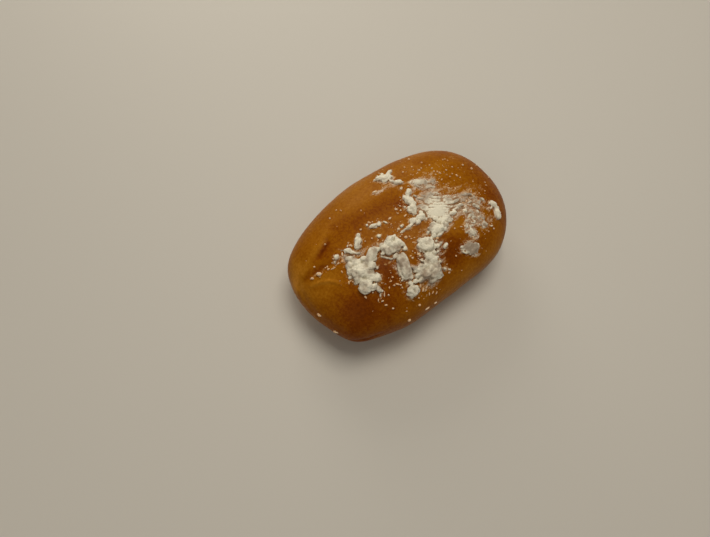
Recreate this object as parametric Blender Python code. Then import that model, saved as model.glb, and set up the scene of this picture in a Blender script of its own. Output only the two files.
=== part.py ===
"""A soft oval bread roll: one loaf of baked dough, with lumps of caked flour lying on its crust.

The loaf lies along X, is widest a little below half its height, and rests on a flat foot at z = 0.
Lengths are in millimetres until the meshes are made, and the meshes are in metres.
"""

import math
import random

import bmesh
import bpy
import numpy as np
from mathutils import Matrix, Vector, noise

MM = 0.001

# The loaf: its outline from above, and its profile from the side.
HALF_LENGTH = 65.0
HALF_WIDTH = 42.0
OUTLINE_SQUARENESS = 2.58  # 2 is an ellipse, and more is a squarer oval
WAIST_HEIGHT = 20.0
DOME_HEIGHT = 26.0  # from the waist to the top of the crust
DOME_ROUNDNESS = 2.2
TUCK_DEPTH = 26.0  # from the waist down, before the foot flattens at z = 0
TUCK_ROUNDNESS = 2.4
CUTS = 20  # grid lines across each side of the cube that is rounded into the loaf

# How hand shaping leaves the outline uneven: turns round the loaf, cosine part, sine part.
OUTLINE_WAVES = (
    (2, 0.0, -0.025),
    (3, -0.004, -0.007),
    (4, 0.0, 0.005),
    (5, 0.003, 0.011),
)
# Corners and flats of the outline: bearing and spread in degrees, and how far it stands out.
OUTLINE_CORNERS = (
    (2.0, 13.0, 0.7),
    (56.0, 9.0, 0.5),
    (154.0, 8.0, 0.9),
    (191.0, 6.0, -0.7),
    (206.0, 7.0, 1.3),
    (223.0, 8.0, -0.8),
    (289.0, 11.0, -0.9),
    (314.0, 11.0, 0.9),
)

# Creases and ridges along a path over the crust: lift, half width, and the path's points from above.
RIDGES = {
    "long seam": (-1.7, 2.2, ((-62.0, 12.6), (-54.2, 10.9), (-45.0, 7.8), (-34.0, 5.0))),
    "end fold": (-1.3, 1.7, ((-61.5, 12.4), (-62.6, 7.5), (-64.3, 2.0), (-63.0, -8.0), (-59.0, -20.0))),
    "lower lip": (0.8, 2.0, ((-57.0, 7.6), (-51.0, 3.6), (-46.0, -1.0), (-40.0, -4.5))),
    "wrinkle": (-1.0, 2.0, ((-36.5, 18.6), (-41.9, 16.0), (-46.0, 14.6))),
    "wrinkle lip": (0.6, 2.0, ((-32.5, 20.6), (-38.0, 20.0), (-44.0, 18.8))),
    "tip crease": (-1.2, 2.2, ((-56.0, -28.0), (-51.0, -31.5), (-45.0, -33.5))),
}

# Broad swells and hollows of the crust: lift, reach, and the middle from above.
SWELLS = {
    "lower lobe": (1.3, 15.0, (-48.0, -10.0)),
    "upper lobe": (0.9, 14.0, (-46.0, 24.0)),
    "shoulder": (0.9, 16.0, (-12.0, 26.0)),
    "far shoulder": (0.8, 14.0, (36.0, 18.0)),
    "flat of the top": (-0.9, 16.0, (10.0, 4.0)),
    "far hollow": (-0.7, 10.0, (40.0, -8.0)),
}

# The caked flour, in drifts: lumps, width, height, and the line from above that the drift follows.
DRIFTS = {
    "star": (2, 7.4, 2.0, (7.0, 29.0), (12.4, 26.6)),
    "star tail": (1, 3.6, 1.6, (14.2, 22.4), (15.4, 17.2)),
    "thin ledge": (2, 5.6, 1.1, (19.6, 16.4), (27.6, 9.2)),
    "upper chain": (3, 7.0, 2.5, (13.4, 12.6), (8.6, 0.0)),
    "smear": (3, 15.0, 2.0, (17.6, 1.4), (19.2, -9.6)),
    "dust bank": (3, 10.0, 1.1, (27.4, -6.4), (38.2, -15.4)),
    "lower bank": (2, 8.6, 1.1, (32.0, -18.0), (37.6, -25.6)),
    "end lump": (1, 3.6, 1.9, (46.6, -20.4), (46.0, -21.6)),
    "second end lump": (1, 4.0, 1.9, (45.8, -26.0), (45.0, -27.6)),
    "tail": (2, 5.4, 1.2, (24.0, -22.8), (25.4, -31.0)),
    "grey patch": (2, 8.6, 1.2, (15.8, -30.4), (21.8, -33.6)),
    "slanting chain": (3, 4.8, 2.2, (1.0, -3.4), (11.4, -4.6)),
    "shelf": (2, 8.2, 3.0, (10.2, -11.8), (12.8, -17.0)),
    "ring": (3, 9.6, 3.5, (-2.0, -14.0), (5.4, -18.0)),
    "ring side": (1, 4.8, 2.2, (7.6, -22.0), (8.0, -24.0)),
    "neck": (1, 8.0, 2.8, (-3.0, -20.6), (0.6, -23.8)),
    "middle heap": (4, 11.6, 3.8, (-10.4, -25.2), (-3.8, -29.8)),
    "side tail": (1, 3.0, 1.4, (2.0, -31.8), (5.4, -33.8)),
    "round lump": (1, 7.8, 3.6, (-18.8, -29.6), (-19.0, -30.4)),
    "slab": (2, 7.0, 3.0, (-14.4, -12.6), (-15.8, -23.6)),
    "top heap": (3, 9.6, 3.6, (-16.4, -3.6), (-10.6, -8.6)),
    "top heap edge": (1, 5.4, 2.4, (-9.4, -4.8), (-7.8, -6.8)),
    "bar": (2, 6.0, 3.3, (-20.4, -1.4), (-27.4, -4.8)),
    "near heap": (4, 12.6, 3.6, (-34.6, -3.2), (-31.8, -9.2)),
    "near heap foot": (1, 6.0, 2.8, (-31.4, -13.4), (-30.8, -15.0)),
    "near round": (1, 8.2, 3.4, (-37.4, -13.8), (-37.8, -14.8)),
    "near tail": (2, 3.4, 1.8, (-33.0, -18.2), (-33.8, -22.0)),
    "stick": (1, 4.0, 2.4, (-22.0, 9.0), (-27.0, 5.2)),
    "sliver": (2, 3.4, 1.8, (-14.4, 9.2), (-7.4, 5.6)),
    "bead": (1, 2.4, 1.6, (-14.8, 2.4), (-14.6, 2.4)),
    "left bead": (1, 3.6, 2.0, (-38.8, 8.0), (-38.4, 7.8)),
    "left flake": (1, 4.6, 2.0, (-34.4, 3.4), (-32.6, 2.4)),
    "left crumbs": (2, 2.6, 1.3, (-34.6, 9.6), (-30.4, 6.4)),
}
LUMP_OVERLAP = 0.36  # how far a lump reaches past its own stretch, as a share of the drift's width
LUMP_SHARE = 0.78  # a lump's width, as a share of the drift's where several share it
LUMP_WANDER = 0.16  # how far such a lump strays from the line, as a share of the drift's width
LUMP_TURN = 0.5  # how far it turns off the line, in radians
LUMP_SIZES = (0.92, 1.08)  # the least and the most of a lump's own size
LUMP_ROUGHNESS = 0.22  # how far a lump strays from a smooth ball
LUMP_GRAIN = 1.4  # how finely it does so
NOISE_FIELD = 100.0  # the span of the noise from which each lump takes its own patch
LUMP_SUNK = 0.35  # the share of a lump's height that lies under the crust
SMALL_LUMP = 4.5  # drifts narrower than this have lumps of few faces
FLOUR_SEED = 14

RIDGE_TAPER = 0.08  # the share of a ridge's length, at each end, that its fading leaves out
SLOPE_STEP = 0.5  # over which the crust's slope is measured
SLIVER = 0.04  # edges shorter than this are welded after the union

CRUST_COLOUR = (0.235, 0.070, 0.006, 1.0)
FLOUR_COLOUR = (0.72, 0.66, 0.55, 1.0)


def outline_radius(bearing):
    """How far the loaf reaches from its centre along a bearing, at the waist."""
    along = np.abs(np.cos(bearing) / HALF_LENGTH) ** OUTLINE_SQUARENESS
    across = np.abs(np.sin(bearing) / HALF_WIDTH) ** OUTLINE_SQUARENESS
    uneven = 1.0
    for turns, cosine_part, sine_part in OUTLINE_WAVES:
        uneven = uneven + cosine_part * np.cos(turns * bearing) + sine_part * np.sin(turns * bearing)
    radius = uneven * (along + across) ** (-1.0 / OUTLINE_SQUARENESS)
    for middle, spread, standing in OUTLINE_CORNERS:
        off = (np.degrees(bearing) - middle + 180.0) % 360.0 - 180.0
        radius = radius + standing * np.exp(-((off / spread) ** 2))
    return radius


def dome_height(x, y):
    """Height of the smooth crust above a point of the plan."""
    share = np.hypot(x, y) / outline_radius(np.arctan2(y, x))
    rise = np.maximum(1.0 - share**DOME_ROUNDNESS, 0.0) ** (1.0 / DOME_ROUNDNESS)
    return WAIST_HEIGHT + DOME_HEIGHT * rise


def smooth_loaf(directions):
    """The smooth loaf's points for unit directions, and the way out of the crust at each."""
    level = np.hypot(directions[:, 0], directions[:, 1])
    rise = directions[:, 2]
    above = rise > 0.0
    roundness = np.where(above, DOME_ROUNDNESS, TUCK_ROUNDNESS)
    depth = np.where(above, DOME_HEIGHT, TUCK_DEPTH)
    stretch = (level**roundness + np.abs(rise) ** roundness) ** (-1.0 / roundness)
    radius = outline_radius(np.arctan2(directions[:, 1], directions[:, 0]))
    size = np.stack((radius, radius, depth), axis=1)
    points = directions * stretch[:, None] * size
    points[:, 2] += WAIST_HEIGHT
    outward = directions / size
    outward /= np.linalg.norm(outward, axis=1)[:, None]
    return points, outward


def on_crust(path):
    """A path's points from above, lifted onto the smooth crust."""
    plan = np.array(path)
    return np.column_stack((plan, dome_height(plan[:, 0], plan[:, 1])))


def distance_to_path(points, path):
    """Each point's distance to a path of straight runs, and where along the path that is, 0 to 1."""
    nearest = np.full(len(points), np.inf)
    place = np.zeros(len(points))
    runs = len(path) - 1
    for index in range(runs):
        start = path[index]
        run = path[index + 1] - start
        share = np.clip((points - start) @ run / (run @ run), 0.0, 1.0)
        distance = np.linalg.norm(points - start - share[:, None] * run, axis=1)
        closer = distance < nearest
        nearest[closer] = distance[closer]
        place[closer] = (index + share[closer]) / runs
    return nearest, place


def crust_relief(points):
    """How far the crust stands out from the smooth loaf, for its seams, lips, lobes and hollows."""
    lift = np.zeros(len(points))
    for height, half_width, path in RIDGES.values():
        distance, place = distance_to_path(points, on_crust(path))
        taper = np.sqrt(np.sin(math.pi * (RIDGE_TAPER + (1.0 - 2.0 * RIDGE_TAPER) * place)))
        lift += height * taper * np.exp(-((distance / half_width) ** 2))
    for height, reach, middle in SWELLS.values():
        distance = np.linalg.norm(points - on_crust([middle]), axis=1)
        lift += height * np.exp(-((distance / reach) ** 2))
    return lift


def crust_points(directions):
    """The crust's points for unit directions, with its relief and its flat foot."""
    points, outward = smooth_loaf(directions)
    points += outward * crust_relief(points)[:, None]
    points[:, 2] = np.maximum(points[:, 2], 0.0)
    return points


def even_sphere(cube):
    """Spreads points of a cube of half side 1 evenly over the unit sphere."""
    squares = cube**2
    following = np.roll(squares, -1, axis=1)
    preceding = np.roll(squares, 1, axis=1)
    return cube * np.sqrt(1.0 - following / 2.0 - preceding / 2.0 + following * preceding / 3.0)


def principled(name, colour, roughness):
    """A plain dielectric material."""
    material = bpy.data.materials.new(name)
    material.use_nodes = True
    shader = material.node_tree.nodes["Principled BSDF"]
    shader.inputs["Base Color"].default_value = colour
    shader.inputs["Roughness"].default_value = roughness
    shader.inputs["Metallic"].default_value = 0.0
    return material


def make_object(name, shape, material, collection):
    """Turns a bmesh into a smooth object in a collection."""
    mesh = bpy.data.meshes.new(name)
    shape.to_mesh(mesh)
    shape.free()
    mesh.materials.append(material)
    mesh.shade_smooth()
    item = bpy.data.objects.new(name, mesh)
    collection.objects.link(item)
    return item


def make_loaf(material, collection):
    """The dough: a gridded cube rounded into a sphere, then stretched to the loaf."""
    shape = bmesh.new()
    bmesh.ops.create_cube(shape, size=2.0)
    bmesh.ops.subdivide_edges(shape, edges=shape.edges[:], cuts=CUTS, use_grid_fill=True)
    cube = np.array([vertex.co[:] for vertex in shape.verts])
    for vertex, point in zip(shape.verts, crust_points(even_sphere(cube))):
        vertex.co = Vector(point) * MM
    bmesh.ops.triangulate(shape, faces=shape.faces[:])
    return make_object("bread_roll", shape, material, collection)


def crust_frame(x, y, heading):
    """A place on the crust, with local Z pointing out of it and local X along a heading from above."""
    slope_x = (dome_height(x + SLOPE_STEP, y) - dome_height(x - SLOPE_STEP, y)) / (2.0 * SLOPE_STEP)
    slope_y = (dome_height(x, y + SLOPE_STEP) - dome_height(x, y - SLOPE_STEP)) / (2.0 * SLOPE_STEP)
    outward = Vector((-slope_x, -slope_y, 1.0)).normalized()
    spot = Vector((x, y, dome_height(x, y)))
    spot += outward * crust_relief(np.array([spot]))[0]
    across = outward.cross((math.cos(heading), math.sin(heading), 0.0)).normalized()
    axes = Matrix((across.cross(outward), across, outward)).transposed()
    return Matrix.Translation(spot) @ axes.to_4x4()


def make_lump(name, place, size, subdivisions, draw, material, collection):
    """One lump of flour: an uneven ball, pressed flat on the crust and sunk a little into it."""
    shape = bmesh.new()
    bmesh.ops.create_icosphere(shape, subdivisions=subdivisions, radius=1.0)
    spot = Vector([draw.uniform(0.0, NOISE_FIELD) for _ in range(3)])
    settle = Matrix.Translation((0.0, 0.0, size.z * (1.0 - 2.0 * LUMP_SUNK)))
    for vertex in shape.verts:
        uneven = 1.0 + LUMP_ROUGHNESS * noise.noise(vertex.co * LUMP_GRAIN + spot)
        flattened = Vector(vertex.co[axis] * size[axis] * uneven for axis in range(3))
        vertex.co = (place @ settle @ flattened) * MM
    return make_object(name, shape, material, collection)


def make_drift(name, lumps, width, height, start, end, draw, material, collection):
    """The lumps of one drift, each pressed out along its own stretch of the line."""
    run = end - start
    heading = math.atan2(run.y, run.x)
    alone = lumps == 1
    stray = 0.0 if alone else LUMP_WANDER * width
    turn = 0.0 if alone else LUMP_TURN
    half_width = 0.5 * width * (1.0 if alone else LUMP_SHARE)
    half_length = 0.5 * run.length / lumps + LUMP_OVERLAP * width
    for index in range(lumps):
        middle = start + run * (index + 0.5) / lumps
        x = middle.x + draw.uniform(-stray, stray)
        y = middle.y + draw.uniform(-stray, stray)
        size = Vector((half_length, half_width, 0.5 * height / (1.0 - LUMP_SUNK)))
        size *= draw.uniform(*LUMP_SIZES)
        place = crust_frame(x, y, heading + draw.uniform(-turn, turn))
        subdivisions = 1 if width < SMALL_LUMP else 2
        label = f"{name.replace(' ', '_')}_{index}"
        make_lump(label, place, size, subdivisions, draw, material, collection)


def make_flour(material, collection):
    """Every drift of flour, as lumps set along its line."""
    draw = random.Random(FLOUR_SEED)
    for name, (lumps, width, height, start, end) in DRIFTS.items():
        make_drift(name, lumps, width, height, Vector(start), Vector(end), draw, material, collection)


def clean_shell(mesh):
    """Welds slivers, drops loose scraps of flour and fills sealed hollows, leaving one outer shell."""
    shape = bmesh.new()
    shape.from_mesh(mesh)
    bmesh.ops.remove_doubles(shape, verts=shape.verts[:], dist=SLIVER * MM)
    bmesh.ops.triangulate(shape, faces=shape.faces[:])
    unseen = set(shape.verts)
    shells = []
    while unseen:
        shell = set()
        edge_of_shell = [unseen.pop()]
        while edge_of_shell:
            vertex = edge_of_shell.pop()
            shell.add(vertex)
            touching = {edge.other_vert(vertex) for edge in vertex.link_edges} & unseen
            unseen -= touching
            edge_of_shell.extend(touching)
        shells.append(shell)
    largest = max(shells, key=len)
    scraps = [vertex for vertex in shape.verts if vertex not in largest]
    bmesh.ops.delete(shape, geom=scraps, context="VERTS")
    shape.to_mesh(mesh)
    shape.free()


def fuse(loaf, toppings):
    """Joins the toppings to the loaf as one closed solid, and removes their own objects."""
    union = loaf.modifiers.new("flour", "BOOLEAN")
    union.operation = "UNION"
    union.operand_type = "COLLECTION"
    union.collection = toppings
    union.solver = "EXACT"
    union.material_mode = "TRANSFER"
    seen = bpy.context.evaluated_depsgraph_get()
    fused = bpy.data.meshes.new_from_object(loaf.evaluated_get(seen), depsgraph=seen)
    loaf.modifiers.clear()
    clean_shell(fused)
    loaf.data = fused
    for item in list(toppings.objects):
        bpy.data.objects.remove(item)
    bpy.data.collections.remove(toppings)


def main():
    for item in list(bpy.data.objects):
        bpy.data.objects.remove(item)
    parts = bpy.data.collections.new("rustic_bread_roll")
    toppings = bpy.data.collections.new("caked_flour")
    for collection in (parts, toppings):
        bpy.context.scene.collection.children.link(collection)
    crust = principled("crust", CRUST_COLOUR, 0.45)
    flour = principled("flour", FLOUR_COLOUR, 0.95)
    loaf = make_loaf(crust, parts)
    make_flour(flour, toppings)
    fuse(loaf, toppings)


main()
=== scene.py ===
"""The looks of a soft oval bread roll: its baked crust, the caked flour on it, and loose crumbs of flour.

The loaf lies along X and rests on z = 0. Lengths are in millimetres until the meshes are made, in metres.
"""

import math
import random

import bmesh
import bpy
import numpy as np
from mathutils import Matrix, Vector, noise


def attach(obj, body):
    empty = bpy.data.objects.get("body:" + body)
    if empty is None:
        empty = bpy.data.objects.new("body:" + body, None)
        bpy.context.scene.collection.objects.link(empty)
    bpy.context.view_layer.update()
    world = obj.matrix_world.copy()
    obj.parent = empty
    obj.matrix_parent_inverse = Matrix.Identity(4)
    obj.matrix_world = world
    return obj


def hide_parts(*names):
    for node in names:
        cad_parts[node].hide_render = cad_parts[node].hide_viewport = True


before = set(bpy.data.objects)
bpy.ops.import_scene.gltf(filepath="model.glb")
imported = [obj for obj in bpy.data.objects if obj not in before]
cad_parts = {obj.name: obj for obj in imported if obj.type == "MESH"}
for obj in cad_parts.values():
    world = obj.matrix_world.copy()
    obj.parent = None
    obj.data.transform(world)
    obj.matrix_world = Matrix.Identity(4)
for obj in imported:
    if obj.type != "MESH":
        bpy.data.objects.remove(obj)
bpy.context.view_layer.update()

MM = 0.001

# The loaf: its outline from above, and its profile from the side.
HALF_LENGTH = 65.0
HALF_WIDTH = 42.0
OUTLINE_SQUARENESS = 2.58  # 2 is an ellipse, and more is a squarer oval
WAIST_HEIGHT = 20.0
DOME_HEIGHT = 26.0
DOME_ROUNDNESS = 2.2
TUCK_DEPTH = 26.0  # from the waist down, before the foot flattens at z = 0
TUCK_ROUNDNESS = 2.4

# How hand shaping leaves the outline uneven: turns round the loaf, cosine part, sine part.
OUTLINE_WAVES = ((2, 0, -0.025), (3, -0.004, -0.007), (4, 0, 0.005), (5, 0.003, 0.011))
# Corners and flats of the outline: bearing and spread in degrees, and how far it stands out.
OUTLINE_CORNERS = (
    (2, 13, 0.7), (56, 9, 0.5), (154, 8, 0.9), (191, 6, -0.7), (206, 7, 1.3), (223, 8, -0.8),
    (289, 11, -0.9), (314, 11, 0.9),
)

# Creases and ridges along a path over the crust: lift, half width, and the path's points from above.
RIDGES = {
    "long seam": (-0.65, 1.9, ((-62, 12.6), (-54.2, 10.9), (-45, 7.8), (-34, 5))),
    "end fold": (-0.4, 2.4, ((-61.5, 12.4), (-62.6, 7.5), (-63.6, 2), (-63, -8), (-59, -20))),
    "lower lip": (0.6, 0.9, ((-57.5, 7), (-52.9, 4.7), (-49.7, 2.2), (-47.1, -1), (-46.1, -4))),
    "wrinkle": (-0.8, 1.4, ((-35.5, 18.5), (-38, 17.4), (-42.1, 16.3), (-46, 15.1))),
    "wrinkle lip": (0.5, 2.2, ((-28, 27), (-38, 21.4), (-44.8, 18.9), (-53, 16))),
    "tip crease": (-1.2, 2.2, ((-56, -28), (-51, -31.5), (-45, -33.5))),
}
# Broad swells and hollows of the crust: lift, reach, and the middle from above.
SWELLS = {
    "lower lobe": (1.3, 15, (-48, -10)),
    "upper lobe": (0.9, 14, (-46, 24)),
    "shoulder": (0.9, 16, (-12, 26)),
    "far shoulder": (0.8, 14, (36, 18)),
    "flat of the top": (-0.9, 16, (10, 4)),
    "far hollow": (-0.7, 10, (40, -8)),
}
PATH_TAPER = 0.08  # the share of a path's length, at each end, that its fading leaves out
SLOPE_STEP = 0.5  # over which the crust's slope is measured

# The crust's finer relief: height, how far apart its waves lie, and seed.
CRUST_WAVES = ((0.16, 11.0, 0.0), (0.07, 4.2, 7.0), (0.03, 1.9, 14.0))
CRUST_CUTS = 127  # grid lines across a side of the cube that becomes the loaf

EVEN_BAKE = 0.5  # how dark the crust is, from 0 to 1, where nothing changes it
# Where the crust baked darker or stayed paler, and, where marked, painted shade and highlights: depth,
# reach along X, reach along Y, and the middle.
BAKED_AND_PAINTED_LIGHT = {
    "lower lobe": (0.3, 13, 11, (-48, -21)),
    "under the near heap": (0.11, 12, 9, (-33, -27)),
    # painted shade between the heaps of flour
    "between the heaps": (0.3, 6, 9, (-24, -14)),
    # painted shade in the seam and in the wrinkle
    "seam": (0.06, 13, 2.4, (-50, 10)),
    "wrinkle": (0.1, 6, 2.6, (-41.5, 14.4)),
    "middle of the top": (0.12, 22, 5, (-16, 15.5)),
    "beside the middle heap": (0.34, 10, 8, (9, -27)),
    "far end": (0.2, 12, 20, (52, -10)),
    "left tip": (-0.32, 3.4, 5, (-61.8, 14.4)),
    "upper flank, dark": (0.14, 9, 5, (-22.1, 21.6)),
    "beside the neck": (0.3, 3, 3.4, (-6.4, -19.4)),
    "beside the shelf": (-0.16, 5, 4, (18.9, -19.6)),
    # painted highlight along the left edge, a rim of light
    "left edge": (-0.12, 4, 6, (-56.4, 22.2)),
    # painted sheen where the lamps' light falls on the top and the upper flank
    "middle sheen": (-0.1, 10, 6, (-16.1, 24.6)),
    "upper sheen": (-0.14, 14, 6, (-2.2, 36.9)),
    # painted shadow beside the upper chain of flour
    "beside the chain": (0.06, 6, 5, (0.3, 10.7)),
    "close to the chain": (0.2, 3.4, 4, (6, 8.6)),
    "far end, low": (0.14, 8, 6, (24.4, -37.3)),
    "left end": (-0.16, 10, 12, (-60, 12)),
    # painted shade on the far upper edge, set against the key lamp's light there
    "upper edge": (0.12, 14, 5, (41.2, 21.3)),
    # painted highlight on the lit lower lip
    "lower lip": (-0.12, 9, 4, (-50, 1.5)),
    # faint painted highlight along the lit upper flank
    "upper flank": (-0.02, 34, 9, (-8, 29)),
    "far flank": (-0.15, 16, 14, (36, 20)),
    "far top": (-0.1, 10.5, 9, (48.2, -4.2)),
    "far flank, dark": (0.11, 4.5, 4.5, (32.9, 22.6)),
    # paler low on the near side: partly less baked, partly a painted reflection of the floor
    "lower edge": (-0.22, 30, 4, (20, -40)),
}
# Painted shade in creases and under the lip, and painted highlights along the crest and the lip, as lines
# along a path over the crust: depth, half width, and the path's points from above.
SHADE_AND_HIGHLIGHT_LINES = {
    "wrinkle": (0.24, 1.5, ((-37, 17.6), (-39, 16.8), (-42.1, 15.8), (-45, 14.8))),
    "seam": (0.14, 2.2, ((-47, 9.6), (-53, 11.6), (-57.6, 13.2), (-60, 14))),
    "end fold": (0.2, 1, ((-61.2, 13.4), (-63.8, 10), (-65.2, 7))),
    "crest": (-0.2, 1.2, ((-32, 23.7), (-39.4, 19.4), (-44.9, 18.2), (-50.5, 16.9), (-56.5, 15))),
    "lower lip": (-0.34, 0.9, ((-56.7, 6.6), (-52.9, 4.9), (-49.7, 2.4), (-47.1, -0.8), (-46.1, -4))),
    "under the lower lip": (0.1, 1.3, ((-57, 4), (-53.5, 2), (-50.6, -0.6), (-48.6, -4))),
}
RIDGE_HIGHLIGHT_AND_CREASE_SHADE = 0.14  # how much paler a ridge of 1 mm is painted, as a highlight, and darker a crease, as shade
BAND_PALENESS = 0.34  # of a band low on the sides
BAND_HEIGHT = 7.0
BAND_REACH = 5.0
BAND_WANDER = (3.0, 16.0, 51.0)  # how far it wanders up and down, over what length, and seed
FOOT_DARKNESS = 0.2
FOOT_HEIGHT = 0.9
FLAT_HEIGHT = 0.1  # up to here lies the foot, which BAKED_AND_PAINTED_LIGHT leaves out
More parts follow.
